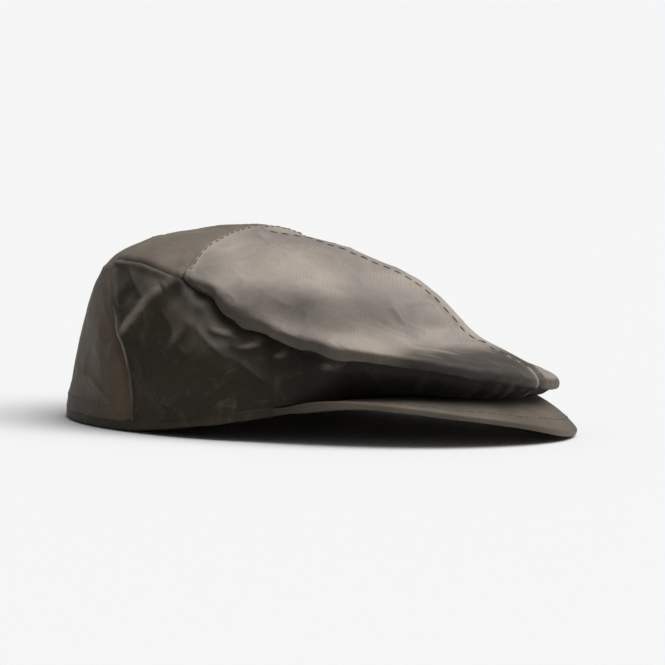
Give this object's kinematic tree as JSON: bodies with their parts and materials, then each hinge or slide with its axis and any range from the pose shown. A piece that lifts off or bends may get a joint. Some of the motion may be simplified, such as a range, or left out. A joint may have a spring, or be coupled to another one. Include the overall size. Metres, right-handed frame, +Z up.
{
  "type": "waxed flat cap",
  "caption": "Small dark olive waxed-cotton flat cap with a soft rolled crown, puckered side seams, a stiff arched peak and a turned hem.",
  "frame": {"origin": "centre of the cap's bounding box in plan, on the surface that its hem rests on", "axes": "+Z up out of the crown, -Y forward out of the peak, -X to the wearer's right"},
  "size_m": [0.101, 0.1234, 0.0458],
  "materials": {
    "crown_cloth": "waxed, satin, worn paler on its folds",
    "rear_cloth": "waxed, satin, slightly grey",
    "side_cloth": "waxed, satin, dark",
    "peak_cloth": "waxed, satin, worn at the edge",
    "hem_cloth": "waxed, satin, dark"
  },
  "bodies": {
    "root": {"crown_front_right": "crown_cloth", "crown_front_left": "crown_cloth", "crown_rear": "rear_cloth", "side_panel_right": "side_cloth", "side_panel_left": "side_cloth", "peak": "peak_cloth", "hem_band": "hem_cloth"}
  },
  "joints": []
}
